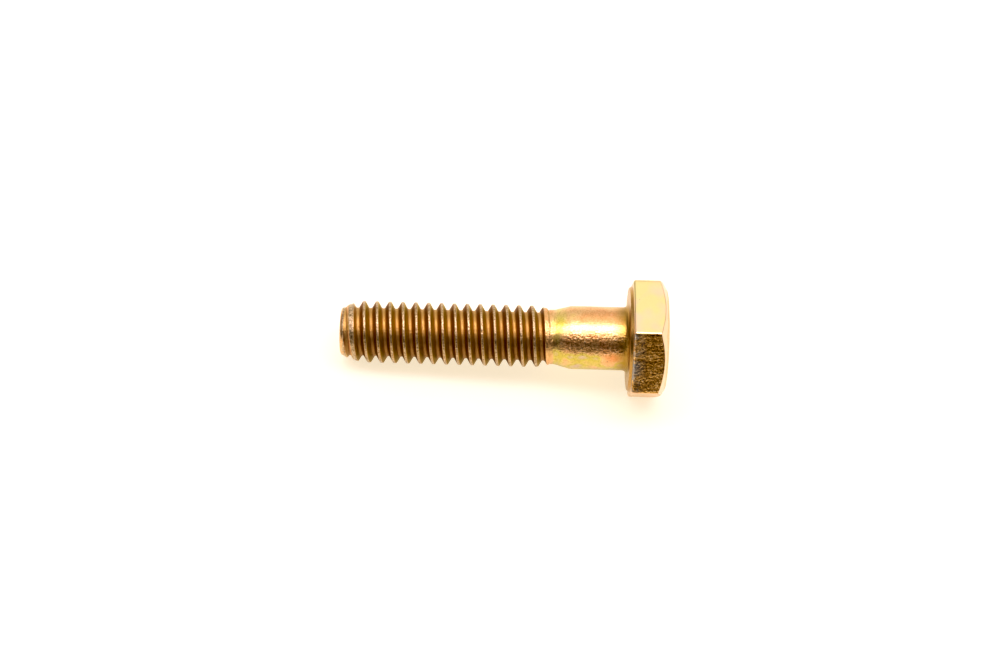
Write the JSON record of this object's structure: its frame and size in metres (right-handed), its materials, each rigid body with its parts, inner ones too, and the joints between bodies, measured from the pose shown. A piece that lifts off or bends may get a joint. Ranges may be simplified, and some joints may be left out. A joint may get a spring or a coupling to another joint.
{
  "type": "hex bolt",
  "caption": "Partly threaded hex-head bolt with a washer-faced hexagon head, plain shank, rolled right-hand thread and chamfered point.",
  "frame": {"origin": "centre of the head's flat end face, on the bolt's axis", "axes": "+X along the bolt's axis out of the head, so the shank and tip lie at -X; +Z out of one wrench flat, with the opposite flat at -Z underneath; two corners of the hexagon at +Y and -Y"},
  "size_m": [0.032, 0.0126, 0.011],
  "materials": {
    "yellow_zinc_steel": "yellow chromate over bright zinc plating, satin, iridescent, darker in the thread roots"
  },
  "bodies": {
    "root": {"hex_bolt": "yellow_zinc_steel"}
  },
  "joints": []
}
